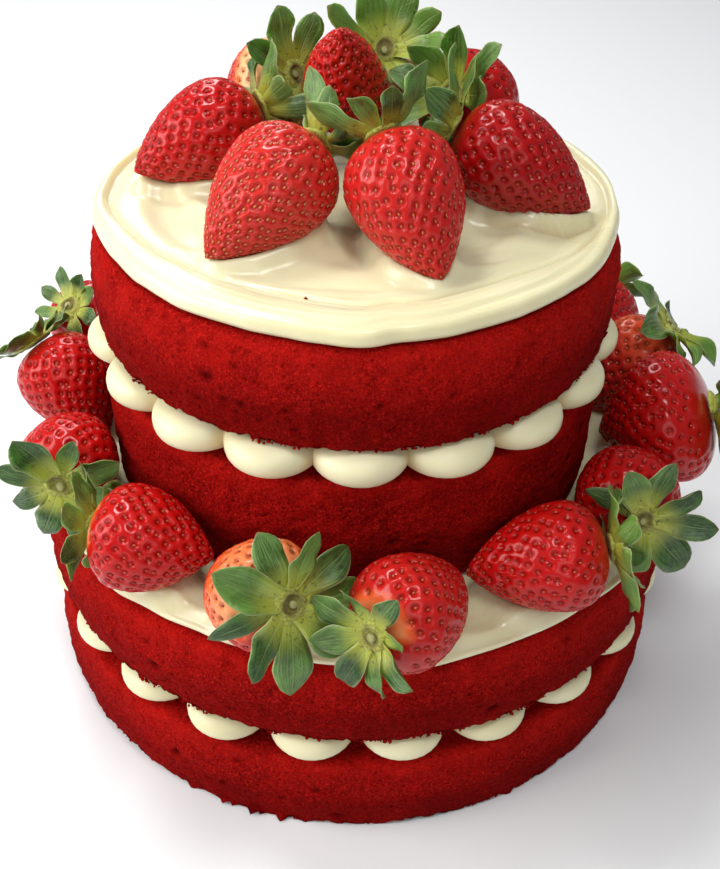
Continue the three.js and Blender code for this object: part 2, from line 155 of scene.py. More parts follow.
# Berries that look unlike the usual one: how far down the pale shoulder reaches as a share of the
# length, how ripe it is at least, how dark and how pink the red is, the side that is pale, in
# degrees, and mm2 of flesh for each seed
BERRY_LOOKS = {
    "berry_top_front_left": {"pink": 0.75, "spacing": 9.5},
    "berry_top_front_right": {"pink": 0.35},
    "berry_top_right": {"dark": 0.45},
    "berry_top_left": {"dark": 0.1},
    "berry_top_back": {"pale": 0.35},
    "berry_top_back_left": {"pale": 0.28, "pink": 0.3},
    "berry_top_back_right": {"dark": 0.3},
    "berry_ring_03": {"pale": 0.6, "least": 0.3, "side": 60},
    "berry_ring_02": {"pale": 0.07, "least": 0.2, "side": 90},
    "berry_ring_04": {"pale": 0.05, "least": 0.3, "side": 90, "pink": 0.25},
    "berry_ring_08": {"pale": 0.4, "least": 0.5, "pink": 0.7},
    "berry_ring_07": {"dark": 0.1},
    "berry_ring_09": {"dark": 0.2},
    "berry_ring_11": {"pale": 0.3},
}
USUAL_LOOK = {"pale": 0, "least": 0, "dark": 0, "pink": 0, "spacing": SEED_SPACING}


def box_mm(node):
    low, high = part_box(node)
    return np.array(low) / MM, np.array(high) / MM


def cad_points(node):
    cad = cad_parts[node]
    return np.array([cad.matrix_world @ v.co for v in cad.data.vertices]) / MM


# Numbers that look random and are the same each run
NOISE_TABLE = 4096
NOISE_PRIMES = (73856093, 19349663, 83492791)


def noise(points, size, seed):
    """Noise from -1 to 1 at points in mm, with lumps about as big as size."""
    table = np.random.default_rng(seed).uniform(-1, 1, NOISE_TABLE)
    scaled = points / size
    cell = np.floor(scaled).astype(np.int64)
    part = scaled - cell
    part = part * part * (3 - 2 * part)
    total = 0
    for corner in np.ndindex(2, 2, 2):
        at = cell + corner
        key = np.bitwise_xor.reduce(at * NOISE_PRIMES, axis=-1)
        weight = np.prod(np.where(corner, part, 1 - part), axis=-1)
        total += weight * table[key % NOISE_TABLE]
    return total


def bell(distance, width):
    return np.exp(-((distance / width) ** 2))


def ring_angles(count):
    return np.linspace(0, TURN, count, endpoint=False)


def angle_gap(angles, degrees):
    """How far angles lie from the direction at these degrees, the short way round."""
    gap = angles - math.radians(degrees)
    return np.arctan2(np.sin(gap), np.cos(gap))


def unit(vectors):
    return vectors / norm(vectors, axis=-1, keepdims=True)


def ease(value, start, end):
    t = np.clip((value - start) / (end - start), 0, 1)
    return t * t * (3 - 2 * t)


# Meshes
class Mesh:
    """Vertices and faces, with a material for each face and values for each vertex."""

    def __init__(self):
        self.points = []
        self.faces = []
        self.slots = []
        self.values = {}
        self.count = 0

    def add(self, points, faces, slot=0, **values):
        points = np.reshape(points, (-1, 3))
        for face_set in faces:
            self.faces.append(np.asarray(face_set) + self.count)
            self.slots.append(np.full(len(face_set), slot))
        for name, value in values.items():
            self.values.setdefault(name, []).append((self.count, np.ravel(value)))
        self.points.append(points)
        self.count += len(points)

    def build(self, name, materials, nodes):
        points = np.concatenate(self.points) * MM
        data = bpy.data.meshes.new(name)
        lengths = np.concatenate([np.full(len(f), f.shape[1]) for f in self.faces])
        corners = np.concatenate([f.ravel() for f in self.faces])
        starts = np.cumsum(lengths) - lengths
        data.vertices.add(len(points))
        data.vertices.foreach_set("co", points.ravel())
        data.loops.add(len(corners))
        data.loops.foreach_set("vertex_index", corners.astype(np.int32))
        data.polygons.add(len(lengths))
        data.polygons.foreach_set("loop_start", starts.astype(np.int32))
        data.polygons.foreach_set("material_index", np.concatenate(self.slots).astype(np.int32))
        data.update(calc_edges=True)
        data.validate()
        data.shade_smooth()
        for key, parts in self.values.items():
            column = np.zeros(len(points))
            for start, value in parts:
                column[start : start + len(value)] = value
            data.attributes.new(key, "FLOAT", "POINT").data.foreach_set("value", column)
        for material in materials:
            data.materials.append(material)
        piece = bpy.data.objects.new(name, data)
        bpy.context.collection.objects.link(piece)
        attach(piece, "root")
        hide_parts(*nodes)


def wrapped_grid(rings, rows):
    """Faces of a grid of closed rings by rows, with a point at each end."""
    first = np.arange(rings) * rows
    after = np.roll(first, -1)
    steps = np.arange(rows - 1)
    near, far = first[:, None] + steps, after[:, None] + steps
    quads = np.stack([near, far, far + 1, near + 1], axis=-1).reshape(-1, 4)
    end = np.full(rings, rings * rows)
    last = rows - 1
    bottom = np.stack([end, after, first], axis=-1)
    top = np.stack([end + 1, first + last, after + last], axis=-1)
    return [quads, np.concatenate([bottom, top])]


def closed(grid):
    """A grid as one column, with the means of its two end rows below."""
    ends = np.stack([grid[:, 0].mean(axis=0), grid[:, -1].mean(axis=0)])
    return np.concatenate([grid.reshape(-1, *grid.shape[2:]), ends])


def add_spun(mesh, grid, slot=0, **values):
    """Adds a closed surface. The grid is rings by rows by 3, and a point closes each end."""
    shape = grid.shape[:2]
    values = {name: closed(np.broadcast_to(value, shape)) for name, value in values.items()}
    mesh.add(closed(grid), wrapped_grid(*shape), slot, **values)


def polar(radius, angle, height):
    return np.stack([radius * np.cos(angle), radius * np.sin(angle), height], axis=-1)


def spin(angles, radius, height):
    """A grid of points from angles (rings) and radii and heights (rows, or rings by rows)."""
    return polar(*np.broadcast_arrays(radius, angles[:, None], height))


def grid_normals(grid):
    """Outward normals of a grid whose rows run upwards."""
    round_it = np.roll(grid, -1, axis=0) - np.roll(grid, 1, axis=0)
    along = np.gradient(grid, axis=1)
    return unit(np.cross(round_it, along))


# Materials
class Nodes:
    """A short way to write a material. It keeps the colour and the bumps laid so far."""

    def __init__(self, name, color=(1, 1, 1)):
        self.material = bpy.data.materials.new(name)
        self.material.use_nodes = True
        self.tree = self.material.node_tree
        self.shader = next(n for n in self.tree.nodes if n.type == "BSDF_PRINCIPLED")
        self.color = color
        self.normal = None

    def put(self, socket, value):
        if isinstance(value, bpy.types.NodeSocket):
            self.tree.links.new(value, socket)
        elif socket.type == "RGBA":
            socket.default_value = (*value, 1)
        else:
            socket.default_value = value

    def node(self, kind, inputs, output=0, **settings):
        """Adds a node and returns one of its outputs."""
        node = self.tree.nodes.new("ShaderNode" + kind)
        for key, value in settings.items():
            setattr(node, key, value)
        for key, value in inputs.items():
            self.put(node.inputs[key], value)
        return node.outputs[output]

    def attribute(self, name):
        return self.node("Attribute", {}, "Fac", attribute_name=name)

    def place(self):
        return self.node("TexCoord", {}, "Object")

    def math(self, operation, *values):
        return self.node("Math", dict(enumerate(values)), operation=operation)

    def times(self, a, b):
        return self.math("MULTIPLY", a, b)

    def range(self, value, low, high, to_low=0.0, to_high=1.0):
        inputs = dict(enumerate((value, low, high, to_low, to_high)))
        return self.node("MapRange", inputs, interpolation_type="SMOOTHSTEP")

    def noise(self, scale, detail, roughness=0.55, vector=None):
        inputs = {"Scale": scale, "Detail": detail, "Roughness": roughness}
        inputs["Vector"] = vector or self.place()
        return self.node("TexNoise", inputs, "Fac")

    def mix(self, amount, a, b):
        return self.node("Mix", {0: amount, 6: a, 7: b}, 2, data_type="RGBA")

    def tint(self, color, amount, share=1.0):
        """Moves the colour towards another one, by an amount times a share."""
        self.color = self.mix(self.times(amount, share), self.color, color)

    def bump(self, height, distance, strength):
        """Lays a bump, with its distance in mm, over those laid before."""
        inputs = {"Height": height, "Distance": distance * MM, "Strength": strength}
        if self.normal is not None:
            inputs["Normal"] = self.normal
        self.normal = self.node("Bump", inputs, "Normal")

    def finish(self, subsurface=None, **inputs):
        """The material. Subsurface is weight, radius and scale in mm, and _ stands for a space."""
        if subsurface:
            weight, radius, scale = subsurface
            inputs.update(Subsurface_Weight=weight, Subsurface_Radius=radius)
            inputs["Subsurface_Scale"] = scale * MM
        if self.normal is not None:
            inputs["Normal"] = self.normal
        for key, value in {"Base_Color": self.color, **inputs}.items():
            self.put(self.shader.inputs[key.replace("_", " ")], value)
        return self.material


# A scale of 2 / MM gives two lumps a millimetre
def sponge_material():
    m = Nodes("sponge_crumb")
    broad = m.noise(0.04 / MM, 2)
    crumb = m.noise(1.2 / MM, 4, 0.7)
    specks = m.node("TexVoronoi", {"Scale": 0.45 / MM, "Vector": m.place()}, "Distance")
    grit = m.noise(2.2 / MM, 2, 0.65)
    dark = m.times(m.range(specks, 0.26, 0.1), m.range(grit, 0.42, 0.55))
    m.color = m.mix(m.range(broad, 0.3, 0.7), (0.24, 0.0027, 0.0024), (0.335, 0.004, 0.0033))
    m.tint((0.62, 0.014, 0.009), m.range(crumb, 0.5, 0.72))
    m.tint((0.1, 0.0008, 0.0008), m.range(crumb, 0.48, 0.34), 0.75)
    m.tint((0.8, 0.045, 0.03), m.range(grit, 0.56, 0.7), 0.5)
    m.tint((0.05, 0.0005, 0.0006), dark, 0.7)
    # Painted shade: the lower part of each layer darker, as if less light reached it from above
    m.tint((0.14, 0.0014, 0.0014), m.attribute("low"), 0.65)
    # Painted shade inside the pits
    m.tint((0.06, 0.0006, 0.001), m.attribute("pit"), 0.85)
    # Painted light: a lighter band below the top edge of each layer, where the side turns up towards
    # the lamps. Loose crumbs take a random lighter tone from the same value
    m.tint((0.7, 0.014, 0.009), m.attribute("crust"), 0.5)
    m.bump(crumb, 1.0, 1.0)
    m.bump(m.range(specks, 0.0, 0.4), 0.6, 0.8)
    m.bump(grit, 0.4, 0.9)
    return m.finish((0.1, (1, 0.15, 0.1), 1.2), Roughness=0.85, IOR=1.2, Specular_IOR_Level=0.1)


def cream_material(name, streaks):
    """Cream: spread, with streaks round the middle, or piped and less glossy."""
    m = Nodes(name)
    broad = m.noise(0.035 / MM, 2)
    m.color = m.mix(m.range(broad, 0.3, 0.7), (0.74, 0.69, 0.43), (0.79, 0.745, 0.5))
    # Painted shade in hollows: along the crease of the rim, under the fold and in the clefts between
    # piped balls
    m.tint((0.6, 0.45, 0.2), m.attribute("hollow"), 0.6)
    # Painted shade, darker and pinker, where the cream meets a berry
    m.tint((0.66, 0.38, 0.19), m.attribute("juice"), 0.1)
    m.bump(m.noise(0.12 / MM, 2), 0.35, 0.5)
    if streaks:
        x, y = (m.node("SeparateXYZ", {0: m.place()}, axis) for axis in "XY")
        across = m.node("CombineXYZ", {"X": x, "Y": y})
        radius = m.node("VectorMath", {0: across}, "Value", operation="LENGTH")
        rings = {"X": radius, "Y": m.times(m.math("ARCTAN2", y, x), 4 * MM)}
        fine = m.noise(0.9 / MM, 3, 0.6, m.node("CombineXYZ", rings))
        m.bump(m.times(fine, m.attribute("streak")), 0.3, 0.6)
    dull, coat = (0.26, 0.25) if streaks else (0.38, 0.1)
    rough = m.range(broad, 0.3, 0.7, dull, dull + 0.1)
    shine = {"Specular_IOR_Level": 0.45, "Coat_Weight": coat, "Coat_Roughness": 0.18}
    return m.finish((0.6, (1, 0.85, 0.55), 4), Roughness=rough, **shine)


def berry_material():
    m = Nodes("berry_flesh")
    blotch = m.math("SUBTRACT", m.noise(0.14 / MM, 3), 0.5)
    ripe = m.math("ADD", m.attribute("ripe"), m.times(blotch, 0.35))
    gap = m.attribute("seed_gap")
    m.color = m.mix(m.range(ripe, 0.05, 0.45), (0.8, 0.5, 0.22), (0.78, 0.13, 0.03))
    m.tint((0.46, 0.005, 0.0045), m.range(ripe, 0.35, 0.8))
    m.tint((0.2, 0.001, 0.003), m.range(m.attribute("dark"), 0.0, 1.0))
    m.tint((0.68, 0.05, 0.035), m.attribute("pink"), 0.5)
    # Painted shade: the flesh darker in the dimples round each seed
    m.tint((0.3, 0.004, 0.003), m.range(gap, 1.0, 0.4), 0.4)
    m.bump(m.noise(0.9 / MM, 2), 0.1, 0.5)
    m.bump(m.range(gap, 0.3, 1.5), 0.62, 1.0)
    shine = {"Specular_IOR_Level": 0.24, "Coat_Weight": 0.14, "Coat_Roughness": 0.08}
    return m.finish((0.25, (1, 0.2, 0.12), 2.5), Roughness=0.2, **shine)


def seed_material():
    m = Nodes("berry_seeds")
    shade = m.range(m.noise(0.35 / MM, 1), 0.35, 0.65)
    m.color = m.mix(shade, (0.3, 0.016, 0.006), (0.5, 0.075, 0.02))
    m.tint((0.62, 0.22, 0.07), m.attribute("pink"))
    return m.finish(Roughness=0.35, Coat_Weight=0.3)


def leaf_material():
    m = Nodes("leaf_green")
    side = m.attribute("across")
    across = m.math("ABSOLUTE", side)
    along = m.attribute("along")
    tone = m.attribute("tone")
    slant = m.math("SUBTRACT", m.times(along, 7.0), m.times(across, 1.6))
    wave = m.math("SINE", m.times(slant, TURN))
    veins = m.times(m.range(wave, 0.82, 1.0), m.range(across, 1.0, 0.1))
    lines = m.math("MAXIMUM", m.range(across, 0.09, 0.02), m.times(veins, 0.55))
    mottle = m.noise(0.16 / MM, 4, 0.6)
    drawn_out = {"X": m.times(side, 5.0), "Y": along, "Z": m.times(tone, 30.0)}
    streaks = m.noise(2.4, 3, 0.6, m.node("CombineXYZ", drawn_out))
    m.color = m.mix(m.range(mottle, 0.36, 0.64), (0.008, 0.03, 0.005), (0.1, 0.215, 0.045))
    m.tint((0.25, 0.39, 0.14), m.range(streaks, 0.45, 0.68), 0.6)
    m.tint((0.006, 0.025, 0.004), m.range(streaks, 0.5, 0.32), 0.7)
    m.tint((0.17, 0.31, 0.05), tone, 0.6)
    m.tint((0.01, 0.04, 0.008), m.range(tone, 0.4, 0.0), 0.5)

    # Yellow near the hub, with brown spots, pale lines, a pale edge and a dry tip
    m.tint((0.46, 0.48, 0.06), m.range(along, 0.55, 0.1), 0.85)
    spots = m.times(m.range(m.noise(0.8 / MM, 2), 0.6, 0.7), m.range(along, 0.6, 0.2))
    m.tint((0.1, 0.06, 0.012), spots, 0.75)
    m.tint((0.27, 0.38, 0.13), lines, 0.28)
    m.tint((0.42, 0.45, 0.22), m.range(across, 0.9, 1.0), 0.75)
    m.tint((0.25, 0.13, 0.05), m.range(along, 0.93, 1.0), 0.6)
    m.bump(lines, 0.25, 0.6)
    m.bump(mottle, 0.3, 0.5)
    m.bump(streaks, 0.35, 0.6)
    return m.finish((0.15, (0.4, 1, 0.2), 1), Roughness=0.3, Specular_IOR_Level=0.5)


def hub_material():
    m = Nodes("leaf_hub")
    fuzz = m.noise(1.4 / MM, 3)
    m.color = m.mix(m.range(fuzz, 0.35, 0.65), (0.24, 0.28, 0.03), (0.5, 0.5, 0.085))
    m.tint((0.1, 0.055, 0.014), m.attribute("brown"))
    m.bump(fuzz, 0.35, 0.8)
    return m.finish(Roughness=0.65, Sheen_Weight=0.1)


def stem_material():
    m = Nodes("leaf_stem")
    m.color = m.mix(m.noise(0.9 / MM, 2), (0.22, 0.22, 0.06), (0.42, 0.4, 0.17))
    return m.finish(Roughness=0.6)


SPONGE = sponge_material()
CREAM = cream_material("cream_spread", True)
PIPED = cream_material("cream_piped", False)
FLESH = berry_material()
SEED = seed_material()
LEAF = leaf_material()
HUB = hub_material()
STEM = stem_material()


# Sponge. A loose crumb is a lump with twenty faces.
CRUMB_FACES = (
    (0, 11, 5), (0, 5, 1), (0, 1, 7), (0, 7, 10), (0, 10, 11), (1, 5, 9), (5, 11, 4),
    (11, 10, 2), (10, 7, 6), (7, 1, 8), (3, 9, 4), (3, 4, 2), (3, 2, 6), (3, 6, 8),
    (3, 8, 9), (4, 9, 5), (2, 4, 11), (6, 2, 10), (8, 6, 7), (9, 8, 1),
)
GOLDEN = (1 + math.sqrt(5)) / 2
CRUMB_SIDE = np.array([[-1, GOLDEN, 0], [1, GOLDEN, 0], [-1, -GOLDEN, 0], [1, -GOLDEN, 0]])
CRUMB_POINTS = np.concatenate([np.roll(CRUMB_SIDE, k, axis=1) for k in range(3)])
CRUMB_POINTS /= math.hypot(1, GOLDEN)


def sponge_profile(radius, height, rounding):
    """Radii and heights of a layer, from its underside to its top."""
    wall = np.linspace(0, 1, int(height / SPONGE_ROW))
    quarter = np.linspace(0, 1, 9)[1:] * math.pi / 2
    wall_height = height - rounding
    under = radius * np.array([0.4, 0.8, 0.95])
    side = radius + SPONGE_BULGE * np.sin(math.pi * wall) - 0.3
    edge = side[-1] - rounding * (1 - np.cos(quarter))
    flat = (side[-1] - rounding) * np.array([0.96, 0.9, 0.75, 0.4])
    rise = wall_height + rounding * np.sin(quarter)
    heights = [np.zeros(len(under)), wall * wall_height, rise, np.full(len(flat), height)]
    return np.concatenate([under, side, edge, flat]), np.concatenate(heights)


def strewn_pits(angles, heights, radius, height, share, rng):
    """How deep each place lies in a pit, in mm. A share of 1 is many pits, and 0 is none."""
    pit = np.zeros((len(angles), len(heights)))
    arc = angles * radius
    for _ in range(int(radius * PITS_PER_MM * share)):
        at = rng.uniform(0, TURN) * radius
        up = rng.uniform(0.05, 0.97) * height
        size = rng.choice(PIT_SIZES[0], p=PIT_SIZES[1]) * rng.uniform(0.85, 1.2)
        long = rng.uniform(0.8, 1.9)
        gap = np.abs(arc - at)
        gap = np.minimum(gap, TURN * radius - gap)
        near = np.where(gap < 4 * size * long)[0]
        distance = np.hypot(gap[near][:, None] / long, heights - up)
        pit[near] = np.maximum(pit[near], size * bell(distance, size * 0.8))
    return pit


def edge_tear(angles, radius, seed):
    """How far in the lower edge is torn at each angle, more in some patches."""
    circle = spin(angles, [radius], 0.0)
    tear = noise(circle, 3.0, seed) + noise(circle, 1.3, seed + 1)
    return tear * (0.6 + 0.9 * np.maximum(0, noise(circle, 22, seed + 2)))


def add_crumbs(mesh, radius, bottom, height, center, count, rng):
    """Loose crumbs on the lower edge, and a few on the side."""
    hanging = 0.0 if bottom < 1 else 0.45
    clumps = rng.uniform(0, TURN, count // CRUMBS_IN_CLUMP)
    for k in range(count):
        angle = clumps[k % len(clumps)] + rng.normal(0, 1.5 / radius)
        size = rng.choice(CRUMB_SIZES[0], p=CRUMB_SIZES[1]) * rng.uniform(0.8, 1.2)
        up = rng.uniform(-hanging, 0.8) if k % SIDE_CRUMB_EVERY else rng.uniform(0.1, 0.8) * height
        up = max(up, size * 1.25 - hanging * 3)
        bulge = SPONGE_BULGE * math.sin(math.pi * min(1, up / height))
        reach = radius + bulge + rng.uniform(-1.3, -0.5)
        lump = CRUMB_POINTS * size * rng.uniform(0.7, 1.25, (12, 1))
        lump = lump * rng.uniform(0.75, 1.2, 3)
        place = polar(reach, angle, bottom + up) + center
        # Each crumb gets a random lighter tone
        mesh.add(lump + place, [CRUMB_FACES], crust=np.full(12, rng.uniform(0, 0.5)))


def add_sponge(
    node, radius, rounding, seed, rings, crumbs, pits, ragged=1.0, torn_rim=0.0, teeth=()
):
    """A layer of sponge. ragged is for its lower edge and torn_rim for the part below the upper."""
    low, high = box_mm(node)
    center = [*(low[:2] + high[:2]) / 2, 0]
    bottom, top = low[2], high[2]
    height = top - bottom
    rng = np.random.default_rng(seed)
    angles = ring_angles(rings)
    radii, heights = sponge_profile(radius, height, rounding)
    grid = spin(angles, radii, bottom + heights)
    outward = grid_normals(grid)
    outer = ease(norm(grid[..., :2], axis=-1), radius * 0.93, radius * 0.985)

    # Broad and fine unevenness: sizes of lumps, and how high they are
    rough = 0
    for number, (size, rise) in enumerate(((40, 0.35), (9, 0.3), (3.4, 0.4), (1.5, 0.3))):
        rough += rise * noise(grid, size, seed + number)

    # Below the rounded edge the sponge is torn in places
    torn = bell(heights - (height - rounding * 1.5), rounding) * outer
    torn = torn * np.maximum(0, noise(grid, 24, seed + 11)) * torn_rim
    rough += 1.6 * torn * noise(grid, 4.2, seed + 12)
    pit = strewn_pits(angles, heights, radius, height, pits, rng)

    # The lower edge is torn, and bits of crumb hang from it
    tear = edge_tear(angles, radius, seed + 5)
    tear_in = ragged * 0.9 * (0.5 + tear) * bell(heights, 1.6) * outer
    grid = grid + outward * ((rough - 0.75 * pit) * outer - tear_in)[..., None]
    hang = np.maximum(0, -tear) * ragged * 2.2
    grid[..., 2] += hang * bell(heights, 1.2) * outer
    grid[..., 2] = np.clip(grid[..., 2], bottom, top)
    for middle, size, width in teeth:
        tooth = size * bell(angle_gap(angles, middle) * radius, width)
        spread = 1 + tooth[:, None] / radius * bell(heights, 1.3) * outer
        grid[..., :2] *= spread[..., None]

    # Painted light: a lighter band just below the rounded top edge
    band = bell(heights - (height - rounding * 0.7), 1.0 + rounding * 1.5)
    crust = band * outer * (0.6 + 0.4 * noise(grid, 5, seed + 8))
    # Painted shade: darker towards the bottom of each layer, as if less light reached it there
    painted_low_shade = ease(-heights, -0.62 * height, -0.35 * height) * outer
    painted_low_shade = painted_low_shade * (0.75 + 0.25 * noise(grid, 12, seed + 9))
    # Painted shade inside the pits, from how deep each place lies in one
    shade = np.clip(pit * (0.4 + 0.6 * pits), 0, 1)
    mesh = Mesh()
    add_spun(mesh, grid + center, pit=shade, crust=crust, low=painted_low_shade)
    add_crumbs(mesh, radius, bottom, height, center, crumbs, rng)
    mesh.build(f"look_{node}", [SPONGE], [node])


# Piped balls between the layers
def add_filling(node, balls, shift, seed):
    """A layer of cream whose rim is a ring of balls pressed flat."""
    low, high = box_mm(node)
    rise = (high[2] - low[2]) / 2
    middle = (high[2] + low[2]) / 2
    count = balls["count"]
    half = math.pi / count
    spread = np.sin(np.linspace(-1, 1, BALL_STEPS, endpoint=False) * math.pi / 2) * half
    number = np.repeat(np.arange(count), BALL_STEPS)
    off = np.tile(spread, count)
    angles = math.radians(balls["turn"]) + number * 2 * half + off
    share = np.sin(np.linspace(-1, 1, BALL_ROWS) * math.pi / 2) * 0.995
    profile = (1 - np.abs(share) ** BALL_SQUARENESS) ** (1 / BALL_SQUARENESS)
    rng = np.random.default_rng(seed)
    grown = rng.uniform(0.975, 1.025, count)[number]
    grown = 1 + (grown - 1) * np.cos(off / half * math.pi / 2)
    leaning = rng.uniform(-0.5, 0.5, count)[number]
    ball = balls["radius"] * grown[:, None] * profile
    reach = ball**2 - (balls["ring"] * np.sin(off))[:, None] ** 2
    radii = (balls["ring"] * np.cos(off))[:, None] + np.sqrt(np.maximum(0, reach))
    radii += 0.12 * noise(spin(angles, radii, 0.0), 7, seed)
    heights = middle + rise * share + leaning[:, None] * (1 - share**2) * 0.4
    inner = np.array([0.3, 0.7, 0.9])
    radii = np.concatenate([inner * radii[:, :1], radii, inner[::-1] * radii[:, -1:]], axis=1)
    flat = np.ones((len(angles), len(inner)))
    heights = np.concatenate([flat * (middle - rise), heights, flat * (middle + rise)], axis=1)
    grid = spin(angles, radii, heights)
    mesh = Mesh()
    # Painted shade in the clefts between the balls
    painted_cleft_shade = bell(half - np.abs(off), half * 0.16)[:, None]
    add_spun(mesh, grid + [shift, 0, 0], hollow=painted_cleft_shade)
    mesh.build(f"look_{node}", [PIPED], [node])


# Spread cream
def cream_run(angles, seed, drips):
    """How far cream runs out over its usual edge at each angle."""
    circle = spin(angles, [60.0], 0.0)[:, 0]
    run = 0.9 * noise(circle, 25, seed) + 0.6 * noise(circle, 9, seed + 1)
    run += 0.25 * noise(circle, 4.5, seed + 2)
    for middle, size, width in drips:
        run += size * bell(angle_gap(angles, middle), math.radians(width))
    return run


def berry_tree():
    """All berries of the CAD part, for finding what lies near a place."""
    points, faces = [], []
    for name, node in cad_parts.items():
        if not name.startswith("berry"):
            continue
        first = len(points)
        points += cad_points(name).tolist()
        faces += [[first + i for i in p.vertices] for p in node.data.polygons]
    return BVHTree.FromPolygons(points, faces)


BERRIES_NEAR = berry_tree()


def press_round_berries(grid):
    """Raises cream round the berries pressed in it. Returns how near one is, from 0 to 1."""
    flat = grid.reshape(-1, 3)
    gaps, mound = np.zeros((2, len(flat)))
    for i, point in enumerate(flat):
        gap = BERRIES_NEAR.find_nearest(point, COLLAR_REACH)[3]
        gaps[i] = COLLAR_REACH if gap is None else gap
        above = BERRIES_NEAR.ray_cast(point, (0, 0, 1), MOUND_REACH)[3]
        mound[i] = 0 if above is None else above * (1 - ease(above, MOUND_TOUCH, MOUND_REACH))
    gaps = softened(gaps.reshape(grid.shape[:2]), 3)
    mound = softened(mound.reshape(grid.shape[:2]), 4)
    collar = COLLAR_RISE * ease(-gaps, -COLLAR_REACH, -0.4)
    grid[..., 2] += np.maximum(mound, collar)
    return ease(-gaps, -1.6, 0)


def softened(values, passes):
    """Values of a wrapped grid, each moved towards its neighbours."""
    for _ in range(passes):
        values = (np.roll(values, 1, axis=0) + 2 * values + np.roll(values, -1, axis=0)) / 4
        values[:, 1:-1] = (values[:, :-2] + 2 * values[:, 1:-1] + values[:, 2:]) / 4
    return values


def ridge(points, line, height, back, fore):
    """A ridge along a line of (x, y) places, back wide on its left and fore wide on its right."""
    best, side, share = math.inf, 0, 0
    for k, (a, b) in enumerate(zip(line, line[1:])):
        a = np.array(a, float)
        run = b - a
        t = np.clip(((points[..., :2] - a) @ run) / (run @ run), 0, 1)
        gap = points[..., :2] - (a + t[..., None] * run)
        distance = norm(gap, axis=-1)
        nearer = distance < best
        best = np.where(nearer, distance, best)
        side = np.where(nearer, run[0] * gap[..., 1] - run[1] * gap[..., 0], side)
        share = np.where(nearer, (k + t) / (len(line) - 1), share)
    broad = np.where(side > 0, back, fore)
    return height * bell(best, broad) * np.sin(np.clip(share, 0.02, 0.98) * math.pi) ** 0.5


def cream_surface(angles, edge, lip, bottom, top):
    """The underside, a lip given as (inward, up) in mm, and the top. Also the top's first row."""
    lip = np.array(lip)
    under = spin(angles, edge * [0.3, 0.8], bottom)
    side = spin(angles, edge - lip[:, 0], bottom + lip[:, 1])
    return np.concatenate([under, side, top], axis=1), under.shape[1] + len(lip)


def add_top_cream():
    """Cream on top, with its rim, grooves, strokes and fold."""
    low, _ = box_mm("cream_top")
    angles = ring_angles(TOP_RINGS)
    edge = (TOP_EDGE + cream_run(angles, 17, TOP_DRIPS))[:, None]
    inward = np.concatenate([np.linspace(1.0, 20, 34), np.linspace(20, TOP_EDGE - 1, 56)[1:]])
    radius = edge * (TOP_EDGE - inward) / TOP_EDGE
    flat = spin(angles, radius, 0.0)

    # The band round the rim is narrow at the sides and wide at the front
    front = bell(angle_gap(angles, -92) ** 2, 1.32)[:, None]
    crease = 3.6 + 10.2 * front + 0.9 * noise(flat[:, :1], 22, 5)
    height = 1.5 * np.sin(np.clip(inward / crease, 0, 1) * math.pi) ** 0.8 * (0.75 + 0.35 * front)
    height -= 0.9 * bell(inward - crease, 0.9)
    wander = noise(flat[:, :1], 12, 6)
    for middle, arc, far, sway, depth, width in GROOVES:
        here = bell(angle_gap(angles, middle), arc)[:, None]
        height -= depth * here * bell(inward - far - sway * wander, width)

    # The strokes of the palette knife in the middle
    middle = ease(inward - crease, 0, 9)
    swirl = radius / 24 * TURN - angles[:, None] + 1.5 * noise(flat, 35, 8)
    height += middle * (np.sin(swirl) + 0.9 * noise(flat, 15, 9))
    height += 0.05 * np.sin(inward * 2.6 + 1.2 * noise(flat, 12, 12)) * (1 - middle)
    height += 0.09 * middle * np.sin(radius * 0.9 + 2.0 * noise(flat, 30, 11))

    # A fold of cream by the right-hand berry
    place = flat + [UPPER_TIER_SHIFT, 0, 0]
    foot = ridge(place + [0, 2.3, 0], FOLD, 1.0, 0.9, 0.9)
    height += ridge(place, FOLD, 3.0, 3.6, 0.8) - 0.8 * foot

    # Cream pushed up between the two front berries
    pushed = norm(place[..., :2] - PUSHED_UP, axis=-1)
    height += 3.4 * bell(pushed, 8.5)

    # Waves and strokes in front of the berries
    for line, size, back, fore in STROKES:
        height += ridge(place, line, size, back, fore)

    top = spin(angles, radius, low[2] + TOP_LEVEL + height)
    lip = [(1.9, 0.0), (0.9, 0.25), (0.25, 0.9), (0.0, 1.7), (0.1, 2.6), (0.45, 3.4)]
    grid, first = cream_surface(angles, edge, lip, low[2], top)
    grid = grid + [UPPER_TIER_SHIFT, 0, 0]
    grid[..., 2] = np.maximum(grid[..., 2], low[2])
    near = press_round_berries(grid[:, first:])
    before = ((0, 0), (first, 0))
    # Painted shade where the cream meets a berry
    juice = np.pad(near**1.5, before)
    # Painted shade along the crease of the rim and under the fold
    hollow = np.pad(np.clip(0.45 * bell(inward - crease, 0.8) + foot, 0, 1), before)
    streak = np.pad(1 - 0.85 * middle, before, constant_values=1)
    mesh = Mesh()
    add_spun(mesh, grid, juice=juice, hollow=hollow, streak=streak)

    # One crumb of sponge lies on the rim
    gap = norm(grid[:, first:, :2] - CRUMB_ON_RIM, axis=-1)
    under_crumb = grid[:, first:].reshape(-1, 3)[np.argmin(gap)]
    mesh.add(CRUMB_POINTS * [0.55, 1.1, 0.45] + under_crumb, [CRUMB_FACES], 1)
    mesh.build("look_cream_top", [CREAM, SPONGE], ["cream_top"])


